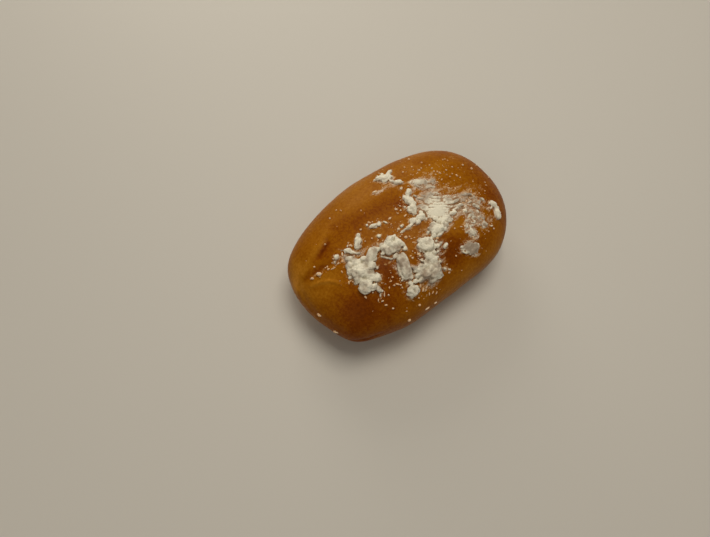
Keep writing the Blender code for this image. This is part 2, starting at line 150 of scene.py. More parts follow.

# Caked flour: each heap's lumps, as x, y, length, width, height above the crust, and heading in degrees.
HEAPS = {
    "near heap": (
        (-33.9, -5.7, 15, 8.8, 2, -78), (-36.8, 0.2, 4.6, 3.8, 2.4, 20), (-29.6, -2.4, 4.4, 3.4, 3.1, -20),
        (-33.6, -1.4, 5.6, 4.2, 2.8, -20), (-38.4, -2.6, 4.2, 4.4, 2.4, 70),
        (-35.6, -3.8, 6.2, 4.2, 3.5, -15), (-32.2, -5, 4.2, 4.4, 2.8, 80), (-35, -6.2, 9.6, 7.4, 4, -30),
        (-37.6, -8, 4.6, 5, 2.9, 60), (-33.4, -9.6, 5.4, 4.2, 2.9, 0), (-40.2, -4.6, 2.2, 3, 1.2, 90),
        (-39.8, -8.8, 2, 2.6, 1.2, 60), (-30.9, -13.2, 5.4, 4.4, 2.3, -40), (-32.4, -12, 5, 4, 2.7, -30),
        (-30.6, -13.8, 4, 4.2, 2.5, 20), (-35.2, -12.4, 4.4, 4, 2.7, 0),
    ),
    "near round": ((-37.6, -13.4, 7.2, 6.6, 4, 20),),
    "near round edge": (
        (-34.8, -16, 4, 3.4, 2.6, 0), (-33.6, -18.4, 3.6, 2.8, 1.8, 80), (-32.8, -20, 1.8, 1.6, 1.2, 0),
        (-34.7, -21.1, 2.2, 1.1, 0.7, 60),
    ),
    "bar": (
        (-26.1, -3.9, 10, 5, 3.7, 26), (-21.4, -2.8, 3, 2.8, 2.4, -40), (-28.8, -7.4, 4.4, 4.4, 3, 70),
        (-20.4, -6.3, 2.6, 2, 1.6, 0), (-24.9, -6.2, 2.3, 1.5, 1.4, 20), (-27.3, -10.2, 1.9, 1.5, 1.3, 0),
    ),
    "top heap": (
        (-17.4, -6, 7.4, 4.8, 3.4, -62), (-13.6, -3.8, 7, 4.8, 3.8, 12), (-14.2, -6.8, 8.2, 6.4, 3.2, -40),
        (-11.1, -7.2, 5.4, 4.8, 3.1, -62), (-17.4, -7.4, 4.2, 4.2, 2.9, -52), (-10.4, -3.6, 3, 2.4, 2.4, 0),
        (-17.8, -2.6, 3.4, 2.4, 1.3, 0), (-13.4, -9.8, 3.4, 2.8, 1, 0), (-16.2, -11.4, 3.4, 2.6, 1.5, 0),
        (-10, -7.6, 7.2, 2.5, 2.5, -82), (-10, -11.6, 2.8, 2.2, 1.8, 0),
    ),
    "leaning stick": ((-20.4, -9.2, 6.2, 1, 1, -52),),
    "slab": ((-16.1, -17.8, 12.4, 5.6, 3.1, 68), (-18.6, -18.4, 7.4, 3.8, 1.6, 68)),
    "slab foot": (
        (-19.2, -22.2, 4, 3.4, 1.9, -40), (-17.4, -23.6, 4.2, 2.8, 2, -20), (-21.4, -22.6, 1.6, 1.3, 1, 0),
        (-13.2, -13.2, 3, 2.6, 2.8, -30),
    ),
    "round lump": ((-19.8, -29.3, 6.2, 5.8, 4, 0),),
    "round lump edge": (
        (-21.9, -31.4, 2, 1.8, 1.2, 0), (-22.8, -29.4, 2.2, 2, 1.2, 0), (-18.9, -26.3, 3.2, 2.3, 1.7, 90),
        (-16, -26.8, 3, 2.6, 1.8, 0),
    ),
    "middle heap": (
        (-5.6, -28, 11.6, 9.2, 2.1, -78), (-10.4, -24.6, 6.4, 5.6, 2.3, -40),
        (-2.2, -24.5, 6.8, 4.6, 2.6, 82), (-12.2, -22.4, 5, 2.4, 2.6, -58), (-9.6, -23.4, 3.6, 3, 2.2, -40),
        (-13, -25.6, 4.6, 2.6, 2.7, -10), (-13.6, -23.2, 2.2, 1.6, 1.6, 0), (-9.6, -27.4, 5.6, 5, 3.6, 0),
        (-12.9, -27.8, 4.4, 3.2, 2.2, 0), (-5.2, -29.4, 8.4, 7, 3.8, -30), (-2.8, -27.4, 4.2, 4.6, 3.5, 60),
        (-6.2, -26.4, 5.4, 2.6, 3.5, -8), (-0.8, -24.4, 2.6, 3.4, 2.6, 70), (-8.4, -31.4, 4.2, 3, 2.5, -20),
        (-3.6, -32.6, 3.8, 1.9, 1.9, 0),
    ),
    "neck": (
        (-2.6, -21.6, 4.6, 4.8, 3, 80), (-6.8, -21.8, 3.8, 1.2, 2, -65), (-8.4, -22.6, 2.4, 1, 1.4, -50),
        (0.9, -22, 2.5, 3.2, 2.3, 0),
    ),
    "ring": (
        (0, -16.8, 8.4, 7.8, 4, -40), (-1.2, -13, 3.2, 2.6, 2, 0), (4.8, -15.8, 2.2, 2, 1.4, 0),
        (-3.2, -15.2, 3.4, 3, 2.7, 0), (-4.1, -17, 2.6, 2, 1.5, 0), (1.7, -14.3, 2.7, 2.3, 2.1, 30),
    ),
    "ring side": (
        (4.6, -20.8, 3.2, 2.8, 2, 0), (2.6, -19.8, 3.4, 2.8, 2.4, 0), (5.6, -18.4, 1.9, 1.6, 1.2, 0),
        (3, -22.9, 2, 1.5, 1.2, 0), (6.6, -20.8, 2.2, 1.8, 1.3, 0), (8, -23, 3.6, 2.3, 2.2, 15),
        (5.2, -12.6, 2.2, 1.5, 1, 30), (0.6, -27.3, 2.4, 1.9, 1.4, 0), (0.6, -31.4, 2.2, 1.6, 1, -30),
        (2.8, -33, 2, 0.9, 0.8, -50),
    ),
    "stick": (
        (-23.6, 8.9, 3.4, 2.5, 2.3, 35), (-25.4, 7, 5.2, 3.6, 2.6, 40), (-27.4, 5, 3.4, 3.8, 2.3, 40),
    ),
    "left end": (
        (-38.8, 8.2, 3, 2.6, 2, 0), (-41.2, 6.6, 2.2, 1.2, 0.9, 50), (-32.4, 6.8, 4.6, 2.8, 1.8, -50),
        (-34.6, 9.2, 1.8, 0.8, 0.8, -50), (-31, 8.8, 1.6, 0.7, 0.8, 40), (-31.4, 4.4, 4.4, 1.8, 1.4, -50),
        (-29.4, 1.8, 3, 1.6, 1.2, -30), (-34.8, 3, 5.2, 3.2, 2.2, -25),
    ),
    "sliver": (
        (-14.2, 8, 4.8, 2.4, 1.8, -25), (-11.1, 7.1, 3.3, 2.2, 1.5, 55), (-16.2, 10.6, 1.6, 1.4, 1.2, 0),
        (-8, 5.6, 2.7, 1.2, 1, -65), (-15.6, 1.8, 2.4, 2.2, 1.7, 0),
    ),
    "slanting chain": (
        (-4.6, -4, 3.6, 1, 0.9, -5), (-0.6, -4.1, 4, 1.9, 1.3, -2), (-3.2, -1.4, 1.4, 1.6, 1.2, 0),
        (3.6, -2.6, 4.4, 3.6, 2.1, -10), (5.2, -5.1, 3.8, 2.5, 1.8, 0), (8, -3.8, 5.6, 3.8, 2.5, -17),
        (10, -2, 2.6, 2.8, 1.9, 0), (9.6, -6.2, 1.8, 1.6, 1.1, 0), (-3.9, -3.7, 4.9, 1.2, 0.9, -5),
        (0.3, -3.9, 4.4, 1.8, 1.3, -3),
    ),
    "upper chain": (
        (9.4, 10.2, 2.8, 2.6, 1.8, 60), (10.2, 7.4, 6.2, 4.4, 2.6, -78), (13.3, 11.2, 5.6, 3.2, 2.1, 29),
        (7.8, 2.6, 5.6, 4.8, 2.7, 0), (10.4, 4.6, 3.6, 3.4, 2, 90), (5.8, 6, 1.6, 1.4, 1, 0),
        (7.2, 0.2, 2.8, 2.2, 1.9, 0), (15.6, 4.6, 3.4, 1.4, 1.3, -45), (14.6, 7.4, 2.8, 1.3, 1.2, -60),
    ),
    "star": (
        (11.3, 27, 8.2, 4.7, 2.3, -40), (15.2, 28.6, 6, 2.2, 1.8, 22), (9.6, 25.4, 3.4, 2.4, 1.5, -40),
        (11.8, 25.5, 3.6, 2.8, 2.1, -40), (8.6, 29.1, 4.6, 3.1, 2.3, -35), (12.2, 30.8, 2.8, 1.8, 1.3, 60),
        (9.6, 31.6, 1.8, 1.2, 1, 60), (6.4, 30.2, 2, 1.4, 1, -20), (12, 22.8, 3.4, 2, 1.2, -60),
        (14, 19.8, 5.4, 2.8, 1.8, -40), (12.4, 15.9, 1.6, 1.2, 0.9, 0),
    ),
    "shelf": (
        (9.6, -13.6, 8.4, 5.8, 2.4, -30), (10.4, -10.9, 3.8, 2.8, 2.7, -20),
        (8.6, -14.4, 5.2, 3.8, 2.8, -15), (11.8, -14.8, 4.6, 3.4, 2.8, 5), (6.6, -15.6, 3.2, 3, 2.2, 0),
        (9.6, -17, 5, 1.9, 1.6, 0), (13.4, -16.4, 3.2, 2.4, 1.7, -20),
    ),
    "end lumps": (
        (47, -20.5, 4.2, 3.6, 2.1, -60), (47.6, -23.5, 3.8, 3.2, 1.7, -60), (44.4, -21.8, 2.2, 1.3, 1, 0),
        (45.3, -26.4, 6, 3.6, 2.2, 82),
    ),
}
# Flour that lies as a thin layer over the crust, in the same six numbers.
LAYERS = {
    "ledge": ((22.8, 12, 12.4, 4.8, 1.25, -40), (28, 8.2, 4.4, 4, 0.9, 0)),
    "ledge film": ((23.4, 8.8, 9.4, 6.2, 0.7, -40), (21.2, 3.6, 8.4, 4.6, 0.75, -40)),
    "smear": (
        (18.4, -6.4, 15.8, 14.8, 1.75, -40), (20.2, 0.2, 13, 10, 1.25, -40), (14, -1.6, 10, 6.4, 1.1, -51),
        (25.8, -5.8, 10.4, 9, 1.1, -40),
    ),
    "dust bank": (
        (33.4, -8.4, 15, 6.4, 0.5, -20), (27.1, -11, 9.5, 6, 0.55, -20), (38.4, -14.2, 7.6, 7, 0.5, -10),
        (30.5, -15.3, 6, 5.4, 0.5, -20),
    ),
    "lower bank": (
        (33, -21.4, 10.5, 8, 0.5, -69), (34.2, -26.2, 4.8, 4.2, 0.55, -78), (28.9, -20, 6, 6, 0.5, -40),
    ),
    "tail": (
        (25.4, -23.2, 3.8, 3.8, 0.7, -40), (24.9, -25.9, 8.6, 5.4, 0.95, -78),
        (25.4, -27.8, 4.4, 3.4, 0.7, -60),
    ),
    "grey patch": ((17, -30.4, 7, 3.6, 0.8, -4), (19.6, -34.4, 6, 3.4, 0.6, -40)),
    "beside the heaps": ((-9.8, -32.6, 4.4, 2.6, 0.45, -20), (-34.2, 4.4, 5.6, 4.4, 0.5, -30)),
}
LAYER_ROUNDNESS = 0.95
LAYER_BED = 0.7  # how deep a layer's underside lies in the crust
LAYER_RAGGEDNESS = 0.2
# Strips, rims and blocks of flour on those layers, in the same six numbers.
STRIPS = {
    "smear foot": (
        (17.7, -12.4, 7.8, 3.6, 1.8, -31), (18.3, -14.4, 4.2, 2.4, 1.5, -31),
        (15.4, -15, 3.9, 3.4, 1.6, -40), (15, -13, 3.2, 2.6, 1.8, -31), (13.5, -9.3, 3.4, 2.6, 1.8, -40),
        (14.6, -11.5, 4.4, 3.2, 1.6, -40),
    ),
    "strands": (
        (29.2, -8.2, 6.9, 2, 1.5, -7), (38.2, -8.7, 8.4, 2, 1.4, -28), (26.3, -11.5, 5.9, 1.6, 1.2, -8),
        (29.3, -11.1, 5.2, 1.4, 1.2, -7), (23.1, -12.4, 5.6, 2.5, 1.5, -27),
        (29.7, -15.7, 2.5, 2, 1.5, -66), (36, -13.1, 4.1, 1.3, 1, -12), (37, -16.7, 4.9, 2.4, 1.7, -64),
        (43.6, -15.4, 3.2, 1.5, 1.1, -64), (30.8, -18.8, 4.2, 1.3, 1.1, -24), (31.2, -21, 4.9, 1.2, 1, -16),
        (29, -18.9, 2.6, 1.4, 0.9, 16), (34.6, -22.3, 3.6, 1.4, 0.9, -62), (34.5, -26.6, 3.8, 2, 1.2, -59),
        (24.5, -22.4, 2.6, 1.6, 0.8, 59), (26.7, -23.2, 4.1, 1.4, 0.8, -32),
        (24.7, -26.4, 4.2, 1.8, 1.2, 67),
    ),
    "grey block": ((19.7, -32.2, 8, 6, 1, -48),),
    "grey patch rim": (
        (15.2, -28.7, 2.7, 1.6, 1.1, -27), (17.9, -29.4, 3.1, 1.3, 1.1, -19), (21.8, -31.3, 3, 1.2, 1, -36),
        (23.2, -32.2, 3.8, 1.5, 1.2, -67), (14.7, -31.5, 3.8, 1.3, 1.1, -66),
    ),
}
LUMP_SUNK = 0.35  # the share of a lump's height that lies under the crust
LUMP_FLATS = 7  # flats where a lump broke
FLAT_DEPTHS = (0.8, 1.02)  # in half sizes of the lump
LEAST_FACING = 0.01  # keeps a division from nought
LUMP_ROUGHNESS = 0.16
LUMP_GRAIN = 1.6  # waves of that roughness to a lump's half size
NOISE_FIELD = 100.0  # in which each lump's roughness has its place
ROUND = 2.2  # squareness of a lump: 2 is an egg, and more is a block
# Groups of lumps that are blocks, lean or have a dimple on top: squareness, lean in degrees, dimple, flats.
LUMP_SHAPES = {
    "bar": (3.4, 0.0, 0.0, 2),
    "slab": (4.5, 8.0, 0.0, 1),
    "leaning stick": (4.0, 0.0, 0.0, 1),
    "near round": (2.6, 0.0, 0.4, 3),
    "round lump": (2.4, 0.0, 0.5, 3),
    "ring": (2.4, 0.0, 0.5, 3),
    "grey block": (5.0, 0.0, 0.0, 3),
}
PLAIN_LUMP = (ROUND, 0.0, 0.0, LUMP_FLATS)
DIMPLE_REACH = 0.11  # of the lump's rise
CHIP_EVERY = 3.4  # of a lump's mean size, for each chip at its edge
CHIP_SIZES = (0.6, 1.5)
CHIP_OUT = -0.1  # how far outside the edge its middle lies, in widths
CHIP_WIDEST = 0.6  # in widths of the lump
CHIP_HIGHEST = 0.7  # in heights of the lump
CHIP_LENGTH = 1.4  # in widths of the chip
# How many thin flakes lie over a layer, for each square millimetre.
FLAKED = {
    "ledge": 0.14, "ledge film": 0.12, "smear": 0.02, "dust bank": 0.13, "lower bank": 0.16, "tail": 0.12,
    "grey patch": 0.05, "beside the heaps": 0.16,
}
FLAKE_LENGTHS = (1.0, 3.6)
FLAKE_WIDTHS = (0.35, 0.7)  # in lengths of the flake
FLAKE_NARROWEST = 1.8  # in voxels
FLAKE_HEIGHTS = (0.5, 1.0)
FLAKE_TURNS = 35.0  # from the layer's heading, in degrees
VOXEL = 0.29  # the grid on which the lumps grow together
LEAST_SHELL = 40  # points of the smallest shell that isn't a bubble
SOFTENING = 3  # rounds of smoothing where the flour lies thick
SOFT_COVER = (0.7, 1.6)  # height over the crust where that begins and is full
HOLLOW_REACH = 50  # rounds of averaging, against which a hollow is deep
# The flour's roughness, as height, size and seed: puffs, grain, and grain where the crust shows through.
FLOUR_PUFFS = ((0.42, 3.2, 0.0), (0.2, 1.4, 11.0))
FLOUR_GRAIN = ((0.13, 1.3, 31.0), (0.09, 0.6, 42.0))
THIN_GRAIN = ((0.3, 1.7, 71.0), (0.17, 0.8, 82.0))
PUFF_CLEFTS = 0.4  # how deep they lie, in heights of a puff
THIN_SINK = 0.1  # how far the thin flour sinks
STRANDS = (2.4, -8.0)  # lengths in widths of the thin flour's strands, and heading
SMEAR_LINES = (0.5, 1.9, -40.0)  # grooves that pressing left: depth, spacing and heading
SMEAR = ((20.6, -2.7, 8.0, 7.0, -40, 1.0),)  # where they lie, as a patch like those of FILM
SMEAR_WANDER = (9.5, 61.0)  # size and seed of the waves that bend them
SMEAR_BREAKS = (4.0, 1.6, 65.0)  # how long and how wide their runs are, and seed
SMEAR_RUNS = (-0.2, 0.3)  # noise where a run ends, and where it is whole
COVER_LIMIT = 3.0  # the most height over the crust that the material is told
HOLLOW_LIMIT = 1.0  # and depth of a hollow
# Where the flour has no puffs, as patches like those of FILM.
SMOOTH = (
    (19.4, -4.6, 9, 9, -40, 0.9), (-15.8, -17.8, 7, 3.4, 68, 0.9), (-26, -3.4, 5.4, 2.6, 26, 0.7),
    (19.6, -31.9, 5, 4.4, -48, 0.9),
)
FLOUR_SEED = 14

# Loose beads and flakes of flour that lie by themselves: x, y, length, width, heading in degrees.
BEADS = (
    (-5.5, -7.3, 1.8, 1.6, -40), (-5.4, -1.5, 1.6, 1.5, -40), (-19.1, 3.5, 1.2, 0.9, -40),
    (-42.4, -6.1, 1.9, 0.9, 50), (-24.2, -18.5, 1.2, 0.9, -12), (-26.3, -19.4, 1.5, 0.7, -12),
    (-24.4, -22.6, 2.5, 0.9, -59), (-23.3, -24, 1, 0.9, -40), (-15.3, -30.1, 2.2, 1, 50),
    (-15.1, -32.3, 2.2, 0.9, 50), (-12.8, -32.4, 1.8, 0.8, 50), (-13.2, -35.6, 1.9, 0.7, 71),
    (-11.1, -36.1, 1.9, 0.7, 50), (-9.3, -37.3, 1.8, 0.7, 50), (-28.8, -21.3, 1.3, 0.7, 50),
    (18.2, -19.4, 1.2, 0.9, -30), (21.8, -20.7, 1.6, 0.6, -40), (-3.8, -9.6, 1, 0.7, -40),
    (-4, -12, 1.9, 0.7, -40), (-10.1, -16.2, 1.3, 0.7, -12), (-10, -17.6, 1.3, 1, -40),
    (-40.2, 5.2, 1.5, 0.9, -2), (-43.7, 5, 2.9, 0.7, -17), (-38.3, 4.8, 1.5, 0.7, 18),
    (-29.6, 8.1, 1.5, 1, -2), (-22.7, 4.7, 0.9, 0.7, -40), (-35.5, -23.8, 1.5, 0.9, -12),
    (-36.9, -22.2, 1.6, 0.6, 50), (54.4, 2.8, 1.4, 1.3, -40), (51.4, 7.2, 1.2, 1, -40),
    (60.9, 3.7, 1.4, 0.9, -40), (44.4, 9.1, 1.2, 0.6, -40), (27.9, 18.3, 1.4, 1, -40),
    (-2.2, -1.2, 1.6, 1.4, -40), (1.4, 7.9, 1.9, 1.1, -40), (2.7, 2.1, 2.1, 0.8, 8),
    (12.8, 16.2, 1.5, 1.1, -40), (-7.4, -5.1, 0.9, 0.7, -40), (37.9, -31.2, 1.1, 0.9, -40),
    (54.3, -8.1, 1.4, 0.6, -40), (53.5, -10, 1.5, 0.6, -31), (41.8, -8.7, 1.2, 0.6, -40),
    (48, -4.3, 0.8, 0.7, -40), (43.1, 1.4, 1, 0.7, 50), (32.6, 10.4, 1, 0.7, -40),
    (29.9, 6.4, 0.9, 0.9, -40), (29.1, 4.6, 0.8, 0.6, 50), (60.8, -6, 1, 0.7, -40),
    (35.5, -2.2, 1.9, 0.7, 50), (32.4, 0.2, 1.6, 0.6, -40), (-50.6, 8, 2.9, 2.3, -40),
    (-54.4, 9.2, 2, 1.3, -40), (-62.7, -6, 2.7, 1.4, -78), (-61.1, -17.4, 3.2, 1.2, -54),
    (-28.6, -38.1, 1.9, 1.5, -40), (0.4, 23.4, 3.2, 1.5, -31), (31, 29.1, 1.3, 1.2, -40),
    (-38.5, 18, 1, 1, -40), (-49.9, 12.7, 1.2, 0.9, -40), (-16.9, -39.6, 3, 1, -12),
    (-11.3, -40, 2, 0.9, -12), (-35.2, -26.3, 1.7, 1, -40), (-33.2, -29.6, 1.4, 0.9, -40),
    (-20.6, -36.4, 1.5, 1.2, -40), (-32.9, -22.2, 2.4, 0.7, 50), (9.8, -30.2, 1, 1, -40),
    (-35.7, 7.4, 2.2, 1, 50), (-45.7, 6.5, 1.5, 1, -12),
)
BEAD_FLATNESS = 0.7  # a bead's height, in widths
BEAD_COVER = 0.22  # how white a bead 1 mm wide is
CRUMB_COVER = 0.28  # and the whitest crumb

# Crumbs beside the lumps, and strewn in places.
CRUMBS_A_LUMP = 2
CRUMB_REACH = 1.5  # from the lump, on average
CRUMB_SIZES = (0.3, 1.15)
CRUMB_STRETCH = (0.6, 1.8)  # how much longer than wide the longest are
CRUMB_RARITY = (3.0, 2.0)  # how rare the wide and the long ones are
CRUMBS_WITHIN = 0.93  # of the loaf's outline
ZONE_SPREAD = 0.6  # the random spread, in reaches of a place
# Places: x, y, reach along X and Y, and how many crumbs.
CRUMB_ZONES = (
    (-35, 4.6, 4, 3.2, 14), (-46, 7.6, 7, 1.6, 16), (-41, -5, 1.6, 5, 12), (-27, -21, 5, 3.6, 14),
    (-6.2, -19.8, 1.8, 3, 26), (-5, 2, 5, 4, 10), (3, 6, 3, 3, 10), (26, 16, 8, 4, 24), (38, 10, 9, 9, 30),
    (41, -17, 5, 8, 24), (34, -29, 6, 3, 12), (-12, -34, 9, 2.2, 18), (0, 0, 58, 36, 60),
)

PATCH_EDGE = 1.5  # how steeply a patch ends: 1 is a soft bell
# Thin film of flour on the crust: x, y, reach along, reach across, heading in degrees, strength.
FILM = (
    (21.2, -4.8, 11.2, 8.7, -40, 0.95), (32.5, -10.5, 10, 6, -15, 0.6), (32.5, -22, 5.6, 7, 0, 0.5),
    (23.8, 10.2, 6.6, 4.9, -40, 0.68), (11.4, 4.4, 5, 4.6, 60, 0.4), (25.6, -25.2, 2.8, 5, 0, 0.5),
    (19, -31, 5, 3.8, 0, 0.5), (11, 27, 5, 4, 0, 0.4), (1, 22.7, 3.8, 1.9, -20, 0.75),
    (5.8, 22, 4, 2, -10, 0.5), (25.4, -14.5, 3.6, 2.6, -20, 0.55), (13.8, -17.2, 2.6, 2.2, 0, 0.5),
    (18.6, -16, 3.2, 2.4, 0, 0.55), (3.9, -24.5, 2.8, 2.2, 0, 0.5), (2, -26.9, 2.6, 2.2, 0, 0.5),
    (7.4, -20.3, 2.8, 2.2, 0, 0.35), (42.2, -5.6, 4.4, 3.2, 0, 0.36), (42.7, -19.6, 3.2, 3.4, 0, 0.5),
    (-20.4, 0.6, 2.8, 2, 0, 0.5), (-19.8, -13.6, 3, 2.4, 68, 0.5), (-23.4, -28.9, 2.4, 2.4, 0, 0.5),
    (11.2, 20.3, 2.4, 2.2, 0, 0.5), (47.5, -9.4, 3.6, 3, 0, 0.4), (34, -0.5, 9, 2.6, -20, 0.42),
    (-33.6, 3.2, 4.6, 3.6, 0, 0.4), (-17, -18.5, 5, 6, 0, 0.5), (-11.4, -32, 5.6, 3.2, -15, 0.34),
    (-6.2, -19.6, 2.6, 3, 0, 0.25), (2.4, -9.6, 5, 2, -30, 0.3), (-50, 8.6, 9, 1.4, -15, 0.3),
    (40.2, -26.4, 3.6, 2.8, 0, 0.5), (-26.8, 0.9, 2.8, 1.6, 26, 0.55), (30.4, 13, 3.4, 2.2, -40, 0.45),
    (16.4, 11.1, 2.2, 2, 0, 0.5), (49.8, 15.2, 4, 3, -40, 0.3), (1.4, -10.9, 2.4, 1.8, 0, 0.5),
    (5.6, -21.8, 2.4, 2, 0, 0.5),
)
# Where the crust's moisture has darkened the flour, and where shade is painted on it, in the same six
# numbers.
DAMP_AND_SHADE = (
    (-16.4, -17.6, 7, 3.4, 68, 0.75), (-10.8, -30.2, 4.4, 3.2, -59, 0.55), (-9, -28, 4.8, 4.4, -30, 0.75),
    (-12.4, -9.9, 3.8, 2.2, -88, 0.45), (-38.6, -2.7, 5, 2.4, 82, 0.5), (-36.8, 4.8, 3.2, 3.2, -50, 0.75),
    (-29.8, 1, 2.3, 1.5, 0, 0.75), (-31.5, -4.9, 2.4, 1.9, 0, 0.5), (-23.4, -2.4, 2.8, 2, 20, 0.65),
    (-38.3, 1.8, 2.2, 2.4, 0, 0.62), (-12.7, -31.9, 3.4, 2.4, 0, 0.75), (-38.8, -7.7, 2.6, 2.8, 0, 0.5),
    (-1.4, -31.2, 3.6, 3.8, 0, 0.68), (-34.2, -19, 3, 3, 0, 0.5), (-19.7, -29.2, 1.8, 1.8, 0, 0.6),
    (-38.8, -13.7, 3.4, 3.3, 0, 0.6), (-31, -9.8, 2.8, 2.6, 0, 0.6), (-18.6, -6.8, 2.4, 2.6, 0, 0.75),
    (-13.7, -8.6, 2.4, 2.2, 0, 0.6), (-7.6, -8.6, 1.6, 2, 0, 0.5), (-14.2, -1.8, 3, 1.5, 0, 0.45),
    (12.8, 23.2, 2, 2, 0, 0.45), (8.1, -11, 2.8, 2.2, 0, 0.7), (-12, -22, 2.2, 1.7, 0, 0.7),
    (12.7, 1.7, 3.6, 3, -40, 0.5), (28.6, 8.3, 2.8, 2.6, 0, 0.7), (16.9, 7.6, 2.8, 3, 0, 0.75),
    (0.9, -17.1, 2.2, 2, 0, 0.65), (2.8, -13, 2.4, 1.8, 0, 0.75), (-28.4, -3, 3, 2.4, 18, 0.4),
    (27.2, -5.1, 3.4, 2.6, -40, 0.4), (8.1, 1.1, 4, 3, -40, 0.2), (21.7, 8.4, 7.4, 4.6, -40, 0.62),
    (24.4, 13.6, 6, 2.4, -40, 0.4), (18.4, 5.6, 4, 3.6, -40, 0.7), (20.8, 1.4, 5.4, 3, -40, 0.48),
    (19.8, -32.4, 4.8, 3.8, -48, 0.92), (24.9, -25.6, 4, 6, 0, 0.32), (15.2, -15.3, 2.4, 2, -40, 0.55),
    (38.4, -13.5, 6.6, 5, 0, 0.5), (41.6, -14.3, 3.2, 3, 0, 0.75), (34.6, -24, 6.4, 6, -69, 0.66),
    (35.5, -8, 7.7, 4.7, -20, 0.78), (27.7, -11.5, 2.6, 1.4, -10, 0.4), (24.6, -20.8, 2.4, 2.2, 0, 0.5),
    (-18.8, -31.3, 2.2, 1.6, 0, 0.45), (-5.6, -23.2, 2.4, 1.7, 0, 0.5), (-32.6, 1, 2.4, 1.8, 0, 0.7),
    (-26.8, -9, 2, 2, 0, 0.5), (-41.6, 6.8, 1.6, 1.6, 0, 0.5), (36, -25.2, 2.4, 2.4, 0, 0.75),
    (22.8, -25.8, 1.8, 3, 0, 0.5), (32.8, -17, 2.4, 2.6, 0, 0.7), (17, -29.4, 3.2, 1.5, -10, 0.6),
    (48, -24, 2.2, 1.8, 0, 0.4), (-17.4, -23.5, 2.4, 2, 0, 0.4), (1.1, -21.4, 2, 1.8, 0, 0.55),
    (-1, -12.2, 1.8, 1.4, 0, 0.5), (-17.8, -2.2, 1.8, 1.6, 0, 0.55), (19.4, -13.4, 2.4, 1.8, -31, 0.45),
    (6.8, -20.4, 1.8, 1.6, 0, 0.55), (-2.1, -27.3, 2.4, 2.2, 0, 0.5), (-3.4, -3.9, 2.6, 1.4, -5, 0.5),
    (-4.9, -16.8, 1.8, 1.8, 0, 0.5), (-27, 4.3, 2, 1.8, 0, 0.55), (-16, 6.9, 1.8, 1.6, 0, 0.5),
    (-22.4, 7.3, 1.8, 1.8, 0, 0.45), (-9, -22.3, 2.2, 1.8, 0, 0.45), (-18.8, -11, 2, 1.8, 0, 0.5),
    (-18.7, -16.4, 2.2, 2.2, 0, 0.45),
)
# Fine specks of flour: the same six numbers, with how thickly they lie instead of the strength.
SPECKLED = (
    (22, -8, 22, 14, -20, 0.45), (-14, -14, 20, 12, 0, 0.22), (-34, 4, 9, 5, 0, 0.4),
    (40, 6, 16, 13, -30, 0.4), (24, 18, 12, 6, -40, 0.45), (-6, 3, 10, 6, 0, 0.25),
    (-14, -33, 12, 3, 0, 0.35), (-50, 8.6, 8, 2, -15, 0.35),
)
# Flour round the lumps: its strength beside them, and how far it reaches.
FILM_HALO = (0.62, 1.0)
SPECK_HALO = (0.5, 1.6)

# Camera, as it stood over the loaf.
CAMERA_PLACE = (-98.478, -73.872, 297.074)
CAMERA_RIGHT = (0.76343527, -0.64584037, 0.00753684)
CAMERA_DOWN = (-0.60317531, -0.71707749, -0.34925551)
CAMERA_LENS = 27.127
SENSOR_WIDTH = 36.0


def outline_radius(bearing):
    """How far the loaf reaches from its centre along a bearing, at the waist."""
    along = np.abs(np.cos(bearing) / HALF_LENGTH) ** OUTLINE_SQUARENESS
    across = np.abs(np.sin(bearing) / HALF_WIDTH) ** OUTLINE_SQUARENESS
    uneven = 1.0
    for turns, cosine_part, sine_part in OUTLINE_WAVES:
        uneven = uneven + cosine_part * np.cos(turns * bearing) + sine_part * np.sin(turns * bearing)
    radius = uneven * (along + across) ** (-1.0 / OUTLINE_SQUARENESS)
    for middle, spread, standing in OUTLINE_CORNERS:
        off = (np.degrees(bearing) - middle + 180.0) % 360.0 - 180.0
        radius = radius + standing * np.exp(-((off / spread) ** 2))
    return radius


def dome_height(x, y):
    """Height of the smooth crust above a point of the plan."""
    share = np.hypot(x, y) / outline_radius(np.arctan2(y, x))
    rise = np.maximum(1.0 - share**DOME_ROUNDNESS, 0.0) ** (1.0 / DOME_ROUNDNESS)
    return WAIST_HEIGHT + DOME_HEIGHT * rise


def smooth_loaf(directions):
    """The smooth loaf's points for unit directions, and the way out of the crust at each."""
    level = np.hypot(directions[:, 0], directions[:, 1])
    rise = directions[:, 2]
    above = rise > 0.0
    roundness = np.where(above, DOME_ROUNDNESS, TUCK_ROUNDNESS)
    depth = np.where(above, DOME_HEIGHT, TUCK_DEPTH)
    stretch = (level**roundness + np.abs(rise) ** roundness) ** (-1.0 / roundness)
    radius = outline_radius(np.arctan2(directions[:, 1], directions[:, 0]))
    size = np.stack((radius, radius, depth), axis=1)
    points = directions * stretch[:, None] * size
    points[:, 2] += WAIST_HEIGHT
    outward = directions / size
    outward /= np.linalg.norm(outward, axis=1)[:, None]
    return points, outward


def on_crust(path):
    """Places seen from above, lifted onto the smooth crust."""
    plan = np.array(path)
    return np.column_stack((plan, dome_height(plan[:, 0], plan[:, 1])))


def distance_to_path(points, path):
    """Each point's distance to a path, and where along it that is, 0 to 1."""
    nearest = np.full(len(points), np.inf)
    place = np.zeros(len(points))
    runs = len(path) - 1
    for index in range(runs):
        start = path[index]
        run = path[index + 1] - start
        share = np.clip((points - start) @ run / (run @ run), 0.0, 1.0)
        distance = np.linalg.norm(points - start - share[:, None] * run, axis=1)
        closer = distance < nearest
        nearest[closer] = distance[closer]
        place[closer] = (index + share[closer]) / runs
    return nearest, place


